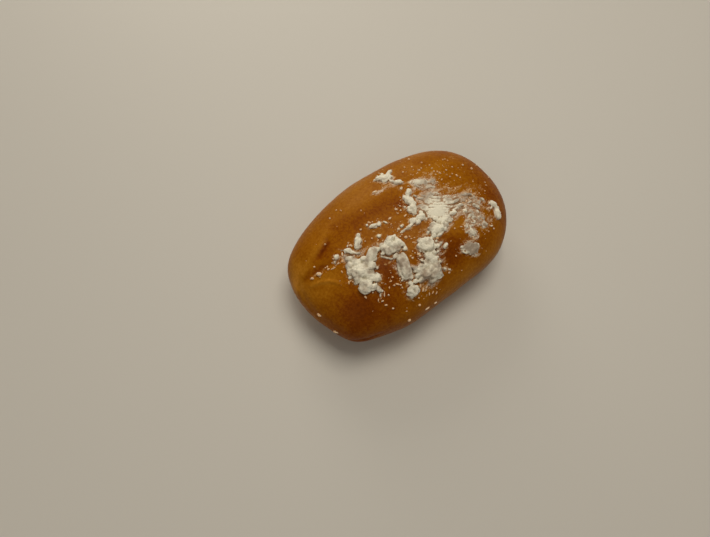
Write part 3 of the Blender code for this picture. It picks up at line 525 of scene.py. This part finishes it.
def along_paths(points, paths):
    """The sum of soft lines along paths over the crust, each with its height and half width."""
    total = np.zeros(len(points))
    for height, half_width, path in paths.values():
        distance, place = distance_to_path(points, on_crust(path))
        taper = np.sqrt(np.sin(math.pi * (PATH_TAPER + (1.0 - 2.0 * PATH_TAPER) * place)))
        total += height * taper * np.exp(-((distance / half_width) ** 2))
    return total


def crust_relief(points):
    """How far seams, lips, lobes and hollows make the crust stand out from the smooth loaf."""
    lift = along_paths(points, RIDGES)
    for height, reach, middle in SWELLS.values():
        distance = np.linalg.norm(points - on_crust([middle]), axis=1)
        lift += height * np.exp(-((distance / reach) ** 2))
    return lift


def even_sphere(cube):
    """Spreads points of a cube of half side 1 evenly over the unit sphere."""
    squares = cube**2
    following = np.roll(squares, -1, axis=1)
    preceding = np.roll(squares, 1, axis=1)
    return cube * np.sqrt(1.0 - following / 2.0 - preceding / 2.0 + following * preceding / 3.0)


def noise_at(points, size, seed=0.0):
    """Smooth noise, -1 to 1, with waves of about the given size."""
    shift = Vector((seed, seed, seed))
    return np.array([noise.noise(Vector(point) + shift) for point in points / size])


def noise_sum(points, waves):
    """The sum of noises, each with its height, its size and its seed."""
    return sum(height * noise_at(points, size, seed) for height, size, seed in waves)


def crust_lift(points):
    """The relief of the crust, with its fine waves."""
    return crust_relief(points) + noise_sum(points, CRUST_WAVES)


def spun(along, across, heading):
    """Lengths along and across a heading in degrees, as lengths along X and Y."""
    angle = math.radians(heading)
    east = along * math.cos(angle) - across * math.sin(angle)
    north = along * math.sin(angle) + across * math.cos(angle)
    return east, north


def turned(points, x, y, heading):
    """Points seen from above, as lengths along and across a heading from a middle."""
    return spun(points[:, 0] - x, points[:, 1] - y, -heading)


def bake_and_painted_light(points):
    """How dark the crust is: as it baked, with painted shade in seams and creases, painted highlights on
    lips and crests, and paler low on the sides.
    """
    level = EVEN_BAKE - RIDGE_HIGHLIGHT_AND_CREASE_SHADE * along_paths(points, RIDGES) + along_paths(points, SHADE_AND_HIGHLIGHT_LINES)
    from_band = points[:, 2] - BAND_HEIGHT + noise_sum(points, [BAND_WANDER])
    level -= BAND_PALENESS * np.exp(-((from_band / BAND_REACH) ** 2))
    level += FOOT_DARKNESS * (points[:, 2] < FOOT_HEIGHT)
    # baked patches, and the painted shade and highlights among them
    for depth, reach_x, reach_y, (x, y) in BAKED_AND_PAINTED_LIGHT.values():
        off = ((points[:, 0] - x) / reach_x) ** 2 + ((points[:, 1] - y) / reach_y) ** 2
        level += depth * np.exp(-off) * (points[:, 2] > FLAT_HEIGHT)
    return level


def every_lump(*kinds):
    """All lumps of flour of some kinds, each with its group's name."""
    for groups in kinds:
        for name, lumps in groups.items():
            for lump in lumps:
                yield name, lump


def patch_level(points, patches):
    """How strongly soft oval patches cover the crust at points, 0 to 1."""
    clear = np.ones(len(points))
    for x, y, along_reach, across_reach, heading, strength in patches:
        along, across = turned(points, x, y, heading)
        off = (along / along_reach) ** 2 + (across / across_reach) ** 2
        clear *= 1.0 - strength * np.exp(-(off**PATCH_EDGE))
    return (1.0 - clear) * (points[:, 2] > WAIST_HEIGHT)


def from_lumps(points):
    """How far points lie from the edge of the nearest lump of flour, seen from above."""
    nearest = np.full(len(points), np.inf)
    for _name, (x, y, length, width, _height, heading) in every_lump(HEAPS, LAYERS, STRIPS):
        along, across = turned(points, x, y, heading)
        off = np.hypot(along / length, across / width) * 2.0
        nearest = np.minimum(nearest, (off - 1.0) * 0.25 * (length + width))
    return np.maximum(nearest, 0.0)


def flour_level(points, distance, halo, patches):
    """How much flour lies on the crust, 0 to 1: in a halo round lumps, and in patches."""
    strength, reach = halo
    round_lumps = strength * np.exp(-distance / reach) * (points[:, 2] > WAIST_HEIGHT)
    return 1.0 - (1.0 - round_lumps) * (1.0 - patch_level(points, patches))


def new_object(name, data):
    """A new object of the scene."""
    thing = bpy.data.objects.new(name, data)
    bpy.context.scene.collection.objects.link(thing)
    return thing


def new_piece(name, mesh, points, numbers, material):
    """A smooth piece, with its points in millimetres and the numbers that its material reads at each."""
    mesh.vertices.foreach_set("co", (points * MM).ravel())
    for key, values in numbers.items():
        mesh.attributes.new(key, "FLOAT", "POINT").data.foreach_set("value", values)
    mesh.materials.clear()
    mesh.materials.append(material)
    mesh.shade_smooth()
    return new_object(name, mesh)


def read(elements, name, width, kind=float):
    """One property of a mesh's points or edges, as rows of numbers."""
    flat = np.empty(width * len(elements), kind)
    elements.foreach_get(name, flat)
    return flat.reshape(-1, width)


def make_crust(material):
    """The loaf, with the relief of its crust and the numbers that its material reads."""
    shape = bmesh.new()
    bmesh.ops.create_cube(shape, size=2.0)
    bmesh.ops.subdivide_edges(shape, edges=shape.edges[:], cuts=CRUST_CUTS, use_grid_fill=True)
    bmesh.ops.triangulate(shape, faces=shape.faces[:])
    mesh = bpy.data.meshes.new("crust")
    shape.to_mesh(mesh)
    shape.free()
    points, outward = smooth_loaf(even_sphere(read(mesh.vertices, "co", 3)))
    points += outward * crust_lift(points)[:, None]
    points[:, 2] = np.maximum(points[:, 2], 0.0)
    distance = from_lumps(points)
    numbers = {
        "bake_and_light": bake_and_painted_light(points),
        "film": flour_level(points, distance, FILM_HALO, FILM),
        "specks": flour_level(points, distance, SPECK_HALO, SPECKLED),
    }
    return new_piece("crust", mesh, points, numbers, material)


def crust_frame(x, y, heading, lean=0.0):
    """A place on the crust, with local Z out of it and local X along a heading."""
    slope_x = (dome_height(x + SLOPE_STEP, y) - dome_height(x - SLOPE_STEP, y)) / (2.0 * SLOPE_STEP)
    slope_y = (dome_height(x, y + SLOPE_STEP) - dome_height(x, y - SLOPE_STEP)) / (2.0 * SLOPE_STEP)
    outward = Vector((-slope_x, -slope_y, 1.0)).normalized()
    spot = Vector((x, y, dome_height(x, y)))
    spot += outward * crust_lift(np.array([spot]))[0]
    across = outward.cross((math.cos(heading), math.sin(heading), 0.0)).normalized()
    axes = Matrix((across.cross(outward), across, outward)).transposed()
    return Matrix.Translation(spot) @ axes.to_4x4() @ Matrix.Rotation(lean, 4, "X")


def ball(subdivisions):
    """A ball's points, as unit directions, and its triangles."""
    shape = bmesh.new()
    bmesh.ops.create_icosphere(shape, subdivisions=subdivisions, radius=1.0)
    points = np.array([vertex.co[:] for vertex in shape.verts])
    faces = np.array([[vertex.index for vertex in face.verts] for face in shape.faces])
    shape.free()
    return points, faces


def broken_lump(shape, place, size, draw, squareness=ROUND, dimple=0.0, flats=LUMP_FLATS):
    """A lump's points and faces: an egg or block with broken flats, sunk into the crust."""
    directions, faces = shape
    reach = np.sum(np.abs(directions) ** squareness, axis=1) ** (-1.0 / squareness)
    for _ in range(flats):
        flat = Vector([draw.gauss(0.0, 1.0) for _ in range(3)]).normalized()
        facing = np.maximum(directions @ np.array(flat), LEAST_FACING)
        reach = np.minimum(reach, draw.uniform(*FLAT_DEPTHS) / facing)
    spot = draw.uniform(0.0, NOISE_FIELD)
    reach *= 1.0 + LUMP_ROUGHNESS * noise_at(directions, 1.0 / LUMP_GRAIN, spot)
    reach *= 1.0 - dimple * np.exp(-((1.0 - directions[:, 2]) / DIMPLE_REACH))
    points = directions * reach[:, None] * np.array(size)
    points[:, 2] += size.z * (1.0 - 2.0 * LUMP_SUNK)
    axes = np.array(place)
    return points @ axes[:3, :3].T + axes[:3, 3], faces


def pressed_layer(shape, lump, draw):
    """A layer's points and faces: a shallow dome with a thin edge, which follows the crust."""
    directions, faces = shape
    x, y, length, width, height, heading = lump
    level = directions * (1.0, 1.0, 0.0)
    spot = draw.uniform(0.0, NOISE_FIELD)
    reach = 1.0 + LAYER_RAGGEDNESS * noise_at(level, 1.0 / LUMP_GRAIN, spot)
    along = 0.5 * length * reach * level[:, 0]
    across = 0.5 * width * reach * level[:, 1]
    east, north = spun(along, across, heading)
    points = on_crust(np.column_stack((x + east, y + north)))
    points[:, 2] += crust_relief(points)
    inside = np.maximum(1.0 - np.sum(level**2, axis=1), 0.0)
    top = height * inside**LAYER_ROUNDNESS
    lift = np.where(directions[:, 2] > 0.0, top, -LAYER_BED * np.sqrt(inside))
    return points + lift[:, None] * np.array(crust_frame(x, y, 0.0))[:3, 2], faces


def half_sizes(length, width, height):
    """A lump's half sizes, for its size from above and its height over the crust."""
    return Vector((0.5 * length, 0.5 * width, 0.5 * height / (1.0 - LUMP_SUNK)))


def joined(name, lumps):
    """One mesh of many lumps, each given as its points and its faces."""
    shift = 0
    all_faces = []
    for points, faces in lumps:
        all_faces.append(faces + shift)
        shift += len(points)
    mesh = bpy.data.meshes.new(name)
    all_points = np.concatenate([points for points, _faces in lumps])
    mesh.from_pydata(all_points.tolist(), [], np.concatenate(all_faces).tolist())
    return mesh


def without_bubbles(mesh):
    """The mesh without the tiny shells that growing together leaves inside."""
    shape = bmesh.new()
    shape.from_mesh(mesh)
    seen = set()
    bubbles = []
    for first in shape.verts:
        if first in seen:
            continue
        seen.add(first)
        shell = [first]
        for vertex in shell:
            for edge in vertex.link_edges:
                other = edge.other_vert(vertex)
                if other not in seen:
                    seen.add(other)
                    shell.append(other)
        if len(shell) < LEAST_SHELL:
            bubbles.extend(shell)
    bmesh.ops.delete(shape, geom=bubbles, context="VERTS")
    shape.to_mesh(mesh)
    shape.free()
    return mesh


def grown_together(mesh):
    """The outer skin of overlapping lumps."""
    lumps = new_object(mesh.name, mesh)
    skin = lumps.modifiers.new("skin", "REMESH")
    skin.mode = "VOXEL"
    skin.voxel_size = VOXEL
    seen = bpy.context.evaluated_depsgraph_get()
    grown = bpy.data.meshes.new_from_object(lumps.evaluated_get(seen), depsgraph=seen)
    bpy.data.objects.remove(lumps)
    return without_bubbles(grown)


def averaged(values, edges, rounds):
    """Values at a mesh's points, blended a number of times with their neighbours'."""
    near = np.concatenate((edges[:, 0], edges[:, 1]))
    far = np.concatenate((edges[:, 1], edges[:, 0]))
    count = np.bincount(near, minlength=len(values))
    for _ in range(rounds):
        sums = [np.bincount(near, column[far], len(values)) for column in values.T]
        values = 0.5 * (values + np.stack(sums, axis=1) / count[:, None])
    return values


def ramp_between(values, low, high):
    """Values brought from a range to 0 to 1, and kept in it."""
    return np.clip((values - low) / (high - low), 0.0, 1.0)


def height_over_crust(points):
    """How far points stand over the crust."""
    under = on_crust(points[:, :2])
    return points[:, 2] - under[:, 2] - crust_relief(under)


def beside(lump, away, draw):
    """A random place at a distance from a lump's edge."""
    x, y, length, width, _height, heading = lump
    bearing = draw.uniform(0.0, 2.0 * math.pi)
    along = (0.5 * length + away) * math.cos(bearing)
    across = (0.5 * width + away) * math.sin(bearing)
    east, north = spun(along, across, heading)
    return x + east, y + north


def chips_of(lump, shape, draw):
    """The small chips that cling to a lump's edge."""
    _x, _y, length, width, height, _heading = lump
    for _ in range(int(0.5 * (length + width) / CHIP_EVERY)):
        across = min(draw.uniform(*CHIP_SIZES), CHIP_WIDEST * width)
        place = crust_frame(*beside(lump, CHIP_OUT * across, draw), draw.uniform(0.0, math.pi))
        sizes = half_sizes(CHIP_LENGTH * across, across, min(across, CHIP_HIGHEST * height))
        yield broken_lump(shape, place, sizes, draw)


def flakes_of(lump, density, shape, draw):
    """The thin flakes that lie over a layer."""
    _x, _y, length, width, _height, heading = lump
    for _ in range(round(density * 0.25 * math.pi * length * width)):
        inwards = -0.5 * min(length, width) * (1.0 - math.sqrt(draw.random()))
        turn = math.radians(heading + draw.gauss(0.0, FLAKE_TURNS))
        long = draw.uniform(*FLAKE_LENGTHS)
        wide = max(long * draw.uniform(*FLAKE_WIDTHS), FLAKE_NARROWEST * VOXEL)
        place = crust_frame(*beside(lump, inwards, draw), turn)
        sizes = half_sizes(long, wide, draw.uniform(*FLAKE_HEIGHTS))
        yield broken_lump(shape, place, sizes, draw)


def flour_lift(points, thick):
    """How far puffs, grain and pressed grooves lift or sink the flour's skin."""
    stretch, heading = STRANDS
    along, across = turned(points, 0.0, 0.0, heading)
    strands = np.stack((along / stretch, across, points[:, 2]), axis=1)
    lift = (1.0 - thick) * (noise_sum(strands, THIN_GRAIN) - THIN_SINK)
    lift += noise_sum(points, FLOUR_GRAIN)
    puffed = thick * (1.0 - patch_level(points, SMOOTH))
    for height, size, seed in FLOUR_PUFFS:
        lift += puffed * height * (2.0 * np.abs(noise_at(points, size, seed)) - PUFF_CLEFTS)
    depth, spacing, heading = SMEAR_LINES
    along, across = turned(points, 0.0, 0.0, heading)
    lines = np.sin(2.0 * math.pi * (across / spacing + noise_at(points, *SMEAR_WANDER)))
    run, width, seed = SMEAR_BREAKS
    runs = np.stack((along / run, across / width, np.zeros(len(points))), axis=1)
    pressed = patch_level(points, SMEAR) * ramp_between(noise_at(runs, 1.0, seed), *SMEAR_RUNS)
    return lift - depth * pressed * np.maximum(lines, 0.0) ** 2


def make_flour(material):
    """The caked flour: lumps, chips and flakes grown together, softened, then roughened."""
    draw = random.Random(FLOUR_SEED)
    smooth = ball(5)
    fine = ball(3)
    coarse = ball(2)
    lumps = []
    for name, lump in every_lump(HEAPS, STRIPS):
        x, y, length, width, height, heading = lump
        squareness, lean, dimple, flats = LUMP_SHAPES.get(name, PLAIN_LUMP)
        place = crust_frame(x, y, math.radians(heading), math.radians(lean))
        sizes = half_sizes(length, width, height)
        lumps.append(broken_lump(fine, place, sizes, draw, squareness, dimple, flats))
        lumps.extend(chips_of(lump, coarse, draw))
    for name, lump in every_lump(LAYERS):
        lumps.append(pressed_layer(smooth, lump, draw))
        lumps.extend(flakes_of(lump, FLAKED[name], coarse, draw))
    mesh = grown_together(joined("caked_flour", lumps))
    edges = read(mesh.edges, "vertices", 2, int)
    points = read(mesh.vertices, "co", 3)
    thick = ramp_between(height_over_crust(points), *SOFT_COVER)
    points += thick[:, None] * (averaged(points, edges, SOFTENING) - points)
    mesh.vertices.foreach_set("co", points.ravel())
    mesh.update()
    normals = read(mesh.vertices, "normal", 3)
    points += normals * flour_lift(points, thick)[:, None]
    # how deep each place lies in a hollow, where the material paints shade
    hollow = np.sum((averaged(points, edges, HOLLOW_REACH) - points) * normals, axis=1)
    numbers = {
        "cover": np.clip(height_over_crust(points), 0.0, COVER_LIMIT),
        "hollow": np.clip(hollow, -HOLLOW_LIMIT, HOLLOW_LIMIT),
        "damp_and_shade": patch_level(points, DAMP_AND_SHADE),
    }
    return new_piece("caked_flour", mesh, points, numbers, material)


def crumb_spots(draw):
    """Where small crumbs lie: beside lumps, and strewn in places."""
    for _name, lump in every_lump(HEAPS, LAYERS, STRIPS):
        for _ in range(CRUMBS_A_LUMP):
            yield beside(lump, draw.expovariate(1.0 / CRUMB_REACH), draw)
    for x, y, reach_x, reach_y, count in CRUMB_ZONES:
        for _ in range(count):
            yield draw.gauss(x, reach_x * ZONE_SPREAD), draw.gauss(y, reach_y * ZONE_SPREAD)


def make_crumbs(material):
    """Loose beads, flakes and crumbs of flour."""
    draw = random.Random(FLOUR_SEED)
    coarse = ball(2)
    least = ball(1)
    least_width, most_width = CRUMB_SIZES
    rare_wide, rare_long = CRUMB_RARITY
    crumbs = []
    covers = []
    for x, y, length, width, heading in BEADS:
        sizes = half_sizes(length, width, BEAD_FLATNESS * width)
        place = crust_frame(x, y, math.radians(heading))
        crumbs.append(broken_lump(coarse, place, sizes, draw))
        covers.append(BEAD_COVER * width)
    for x, y in crumb_spots(draw):
        if math.hypot(x, y) > CRUMBS_WITHIN * outline_radius(math.atan2(y, x)):
            continue
        width = least_width + (most_width - least_width) * draw.random() ** rare_wide
        length = width * (1.0 + draw.uniform(*CRUMB_STRETCH) * draw.random() ** rare_long)
        place = crust_frame(x, y, draw.uniform(0.0, math.pi))
        sizes = half_sizes(length, width, BEAD_FLATNESS * width)
        crumbs.append(broken_lump(least, place, sizes, draw))
        covers.append(CRUMB_COVER * draw.random())
    mesh = joined("flour_crumbs", crumbs)
    cover = np.repeat(covers, [len(points) for points, _faces in crumbs])
    numbers = {"cover": cover, "hollow": 0.0 * cover, "damp_and_shade": 0.0 * cover}
    return new_piece("flour_crumbs", mesh, read(mesh.vertices, "co", 3), numbers, material)


# Noise in the materials: size in millimetres, detail, roughness, and how far it swings a number.
NOISES = {
    "browning": (9.0, 2.0, 0.5, 0.24),
    "mottle": (1.4, 4.0, 0.7, 0.7),
    "skin": (1.1, 4.0, 0.6, 0.0),
    "film": (0.5, 2.0, 0.6, 2.0),
    "film patches": (1.8, 3.0, 0.55, 3.0),
    "flour grain": (0.55, 2.0, 0.6, 3.4),
    "flour patches": (2.6, 2.0, 0.5, 2.4),
    "damp patches": (2.6, 2.0, 0.5, 1.6),
    "flour skin": (0.35, 3.0, 0.6, 0.0),
}
# Ranges: from where to where a number is followed, and what it becomes there, or else 0 to 1.
FILM_SHOWS = (0.3, 1.1, 0.0, 0.85)
FILM_BEGINS = (0.08, 0.35)
FILM_WHITENS = (0.25, 0.75)
MOTTLE_GLOSS = (0.3, 0.7, 0.3, 0.42)
FLOUR_WHITENS = (0.2, 0.9)
DAMP_AND_SHADE_SHOWS = (0.1, 1.0, 0.0, 0.9)
# the painted shade in the flour's hollows: how it pales where the flour is thick, and where it shows
SHADE_PALES = (0.5, 1.5)
HOLLOW_SHOWS = (0.02, 0.3, 0.0, 0.8)
HOLLOW_THINS = -1.6  # how much a hollow takes from the thickness, which paints shade there as thinner, darker flour
# Specks: size in millimetres, how thickly they lie, and seed.
SPECK_KINDS = ((1.5, 1.0, 0.0), (0.85, 0.8, 5.0))
SPECK_STRETCH = (1.8, -40.0)  # their length in widths, and heading
SPECK_RADII = (0.22, 0.16)  # in sizes: what chance adds, and the least
SPECK_EDGE = 0.1
SPECK_CHOICE = 0.05  # how softly chance leaves one out
SPECK_STRENGTH = 0.6
FLOURED_ROUGHNESS = 0.5  # what flour adds to the crust's roughness
FLOURED_HEIGHT = 0.6  # and to its bumps
CRUST_SHEEN = 0.048
CRUST_BUMP = (0.2, 0.7)  # depth in millimetres, and strength
FLOUR_BUMP = (0.08, 0.6)
FLOUR_ROUGHNESS = 0.95
FLOUR_SHEEN = 0.15

FLOUR_WHITE = (0.84, 0.81, 0.69, 1.0)
# painted shade in the hollows where the flour is thick
FLOUR_SHADE = (0.50, 0.45, 0.34, 1.0)
FLOUR_THIN = (0.42, 0.26, 0.16, 1.0)
# moist flour's colour, also painted as shade
FLOUR_DAMP_AND_SHADE = (0.33, 0.25, 0.19, 1.0)
# painted shade deep in the hollows where the flour is thin
FLOUR_DEEP_SHADE = (0.24, 0.13, 0.055, 1.0)
FLOUR_DUST = (0.72, 0.61, 0.49, 1.0)
SPECK_COLOUR = (0.60, 0.36, 0.15, 1.0)
CRUMB_COLOUR = (0.76, 0.50, 0.28, 1.0)
CRUST_STOPS = (
    (0.0, (0.58, 0.245, 0.028, 1.0)),
    (0.3, (0.40, 0.157, 0.008, 1.0)),
    (0.5, (0.305, 0.101, 0.0015, 1.0)),
    (0.72, (0.20, 0.047, 0.0005, 1.0)),
    (1.0, (0.11, 0.019, 0.0005, 1.0)),
)

FLOOR_SIDE = 4.0  # metres
FLOOR_COLOUR = (0.60, 0.59, 0.57, 1.0)
FLOOR_ROUGHNESS = 0.6

# Soft lamps: direction from the loaf, distance and side in metres, and power in watts.
LAMPS = {
    "key": ((0.33, 0.85, 0.42), 1.0, 0.5, 2.6),
    "overhead": ((0.25, 0.15, 0.9), 1.1, 0.55, 5.8),
    "near side": ((-0.7, -0.3, 0.6), 1.1, 0.7, 1.1),
}
LIGHT_COLOUR = (1.0, 0.91, 0.76)
ROOM_STRENGTH = 0.18


def fill(tree, node, inputs):
    """Links or sets a node's inputs."""
    for name, value in inputs.items():
        if isinstance(value, bpy.types.NodeSocket):
            tree.links.new(value, node.inputs[name])
        else:
            node.inputs[name].default_value = value


def add(tree, kind, inputs, output=0, **settings):
    """An output of a new node that is set and has its inputs."""
    node = tree.nodes.new("ShaderNode" + kind)
    for name, value in settings.items():
        setattr(node, name, value)
    fill(tree, node, inputs)
    return node.outputs[output]


def new_material(name):
    """A material, its tree and its shader."""
    material = bpy.data.materials.new(name)
    material.use_nodes = True
    tree = material.node_tree
    return material, tree, tree.nodes["Principled BSDF"]


def placed(tree, stretch=1.0, heading=0.0):
    """Places on the piece, in metres, for textures that are longer along a heading."""
    place = add(tree, "TexCoord", {}, "Object")
    turn = (0.0, 0.0, math.radians(heading))
    inputs = {"Vector": place, "Rotation": turn, "Scale": (stretch, 1.0, 1.0)}
    return add(tree, "Mapping", inputs, vector_type="TEXTURE")


def textured(tree, name, *stretch):
    """One of the noises, 0 to 1, fixed to the piece."""
    size, detail, roughness, _swing = NOISES[name]
    inputs = {"Vector": placed(tree, *stretch), "Scale": 1.0 / (size * MM)}
    inputs.update({"Detail": detail, "Roughness": roughness})
    return add(tree, "TexNoise", inputs)


def stored(tree, name):
    """A number stored at each point of the mesh."""
    return add(tree, "Attribute", {}, "Fac", attribute_name=name)


def compute(tree, operation, first, second, third=0.0):
    """A sum, product or the like of numbers."""
    return add(tree, "Math", {0: first, 1: second, 2: third}, operation=operation)


def stirred(tree, value, name, *stretch):
    """A number that one of the noises swings up and down."""
    swing = NOISES[name][-1]
    middle = compute(tree, "SUBTRACT", value, 0.5 * swing)
    return compute(tree, "MULTIPLY_ADD", textured(tree, name, *stretch), swing, middle)


def ranged(tree, value, low, high, to_low=0.0, to_high=1.0):
    """A number brought smoothly from one range to another, and kept in it."""
    inputs = {"Value": value, "From Min": low, "From Max": high, "To Min": to_low, "To Max": to_high}
    return add(tree, "MapRange", inputs, interpolation_type="SMOOTHSTEP")


def mixed(tree, share, first, second):
    """A mix of two colours."""
    return add(tree, "Mix", {0: share, 6: first, 7: second}, 2, data_type="RGBA")


def coloured(tree, value, stops):
    """A colour for a number, from stops at places from 0 to 1."""
    colour = add(tree, "ValToRGB", {"Fac": value})
    elements = colour.node.color_ramp.elements
    while len(elements) < len(stops):
        elements.new(0.5)
    for element, (position, shade) in zip(elements, stops):
        element.position = position
        element.color = shade
    return colour


def bumped(tree, height, depth, strength):
    """The way out of a surface with bumps, as deep as given in millimetres."""
    return add(tree, "Bump", {"Height": height, "Distance": depth * MM, "Strength": strength})


def specks(tree, size, thickness, seed):
    """Round specks, 1 on a speck and 0 off it, where the crust has any."""
    inputs = {"Vector": placed(tree, *SPECK_STRETCH), "Scale": 1.0 / (size * MM), "W": seed}
    cell = add(tree, "TexVoronoi", inputs, voronoi_dimensions="4D").node
    chance = add(tree, "SeparateColor", {"Color": cell.outputs["Color"]}).node
    radius = compute(tree, "MULTIPLY_ADD", chance.outputs["Green"], *SPECK_RADII)
    inwards = compute(tree, "SUBTRACT", radius, cell.outputs["Distance"])
    share = compute(tree, "MULTIPLY", stored(tree, "specks"), thickness)
    chosen = ranged(tree, compute(tree, "SUBTRACT", share, chance.outputs["Red"]), 0.0, SPECK_CHOICE)
    return compute(tree, "MULTIPLY", ranged(tree, inwards, 0.0, SPECK_EDGE), chosen)


def crust_material():
    """Golden-brown baked crust with painted shade and highlights in places, a soft gloss and a dusting of
    flour.
    """
    material, tree, shader = new_material("crust")
    # how dark the crust baked, with its painted shade and highlights
    level = stirred(tree, stirred(tree, stored(tree, "bake_and_light"), "browning"), "mottle")
    crust = coloured(tree, level, CRUST_STOPS)
    lying = stored(tree, "film")
    film = stirred(tree, stirred(tree, lying, "film"), "film patches", *STRANDS)
    film = compute(tree, "MULTIPLY", ranged(tree, film, *FILM_SHOWS), ranged(tree, lying, *FILM_BEGINS))
    dust = mixed(tree, ranged(tree, lying, *FILM_WHITENS), SPECK_COLOUR, FLOUR_DUST)
    dots = compute(tree, "MAXIMUM", *[specks(tree, *kind) for kind in SPECK_KINDS])
    floured = mixed(tree, film, crust, dust)
    floured = mixed(tree, compute(tree, "MULTIPLY", dots, SPECK_STRENGTH), floured, SPECK_COLOUR)
    cover = compute(tree, "MAXIMUM", film, dots)
    gloss = ranged(tree, textured(tree, "mottle"), *MOTTLE_GLOSS)
    height = compute(tree, "MULTIPLY_ADD", cover, FLOURED_HEIGHT, textured(tree, "skin"))
    looks = {
        "Base Color": floured,
        "Roughness": compute(tree, "MULTIPLY_ADD", cover, FLOURED_ROUGHNESS, gloss),
        "Specular IOR Level": CRUST_SHEEN,
        "Normal": bumped(tree, height, *CRUST_BUMP),
    }
    fill(tree, shader, looks)
    return material


def flour_material(name, thin):
    """Dry caked flour, of another colour where thin, with painted shade in its hollows, and darker where
    moist and where shade is painted.
    """
    material, tree, shader = new_material(name)
    cover = stored(tree, "cover")
    hollow = stored(tree, "hollow")
    thick = stirred(tree, stirred(tree, cover, "flour grain"), "flour patches")
    # hollows count as thinner flour, a painted shade
    thick = compute(tree, "MULTIPLY_ADD", hollow, HOLLOW_THINS, thick)
    share = ranged(tree, thick, *FLOUR_WHITENS)
    colour = mixed(tree, share, thin, FLOUR_WHITE)
    # darker where the flour is moist, and where shade is painted on it
    damp_and_shade = ranged(tree, stirred(tree, stored(tree, "damp_and_shade"), "damp patches"), *DAMP_AND_SHADE_SHOWS)
    colour = mixed(tree, compute(tree, "MULTIPLY", damp_and_shade, share), colour, FLOUR_DAMP_AND_SHADE)
    # painted shade in the hollows
    shade = mixed(tree, ranged(tree, cover, *SHADE_PALES), FLOUR_DEEP_SHADE, FLOUR_SHADE)
    looks = {
        "Base Color": mixed(tree, ranged(tree, hollow, *HOLLOW_SHOWS), colour, shade),
        "Roughness": FLOUR_ROUGHNESS,
        "Specular IOR Level": FLOUR_SHEEN,
        "Normal": bumped(tree, textured(tree, "flour skin"), *FLOUR_BUMP),
    }
    fill(tree, shader, looks)
    return material


def make_floor():
    """The plain pale floor under the loaf, which isn't part of it."""
    material, tree, shader = new_material("floor")
    fill(tree, shader, {"Base Color": FLOOR_COLOUR, "Roughness": FLOOR_ROUGHNESS})
    bpy.ops.mesh.primitive_plane_add(size=FLOOR_SIDE)
    floor = bpy.context.object
    floor.name = "floor"
    floor.data.materials.append(material)


def make_camera():
    """The camera, where it stood for the picture."""
    right = Vector(CAMERA_RIGHT)
    up = -Vector(CAMERA_DOWN)
    data = bpy.data.cameras.new("camera")
    data.lens = CAMERA_LENS
    data.sensor_width = SENSOR_WIDTH
    camera = new_object("camera", data)
    axes = Matrix((right, up, right.cross(up))).transposed().to_4x4()
    camera.matrix_world = Matrix.Translation(Vector(CAMERA_PLACE) * MM) @ axes
    bpy.context.scene.camera = camera


def make_light():
    """Plain soft studio light."""
    for name, (direction, distance, side, power) in LAMPS.items():
        data = bpy.data.lights.new(name, "AREA")
        data.size = side
        data.energy = power
        data.color = LIGHT_COLOUR
        lamp = new_object(name, data)
        towards = Vector(direction).normalized()
        lamp.location = towards * distance
        lamp.rotation_euler = towards.to_track_quat("Z", "Y").to_euler()
    world = bpy.data.worlds.new("room")
    world.use_nodes = True
    tree = world.node_tree
    fill(tree, tree.nodes["Background"], {"Color": (*LIGHT_COLOUR, 1.0), "Strength": ROOM_STRENGTH})
    bpy.context.scene.world = world
    bpy.context.scene.view_settings.view_transform = "Standard"


def main():
    """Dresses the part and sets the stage."""
    flour = flour_material("flour", FLOUR_THIN)
    crumbs = flour_material("crumbs", CRUMB_COLOUR)
    pieces = {
        "crust": make_crust(crust_material()),
        "caked flour": make_flour(flour),
        "crumbs": make_crumbs(crumbs),
    }
    for name, piece in pieces.items():
        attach(piece, "root")
        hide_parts("bread_roll")
    make_floor()
    make_camera()
    make_light()


main()
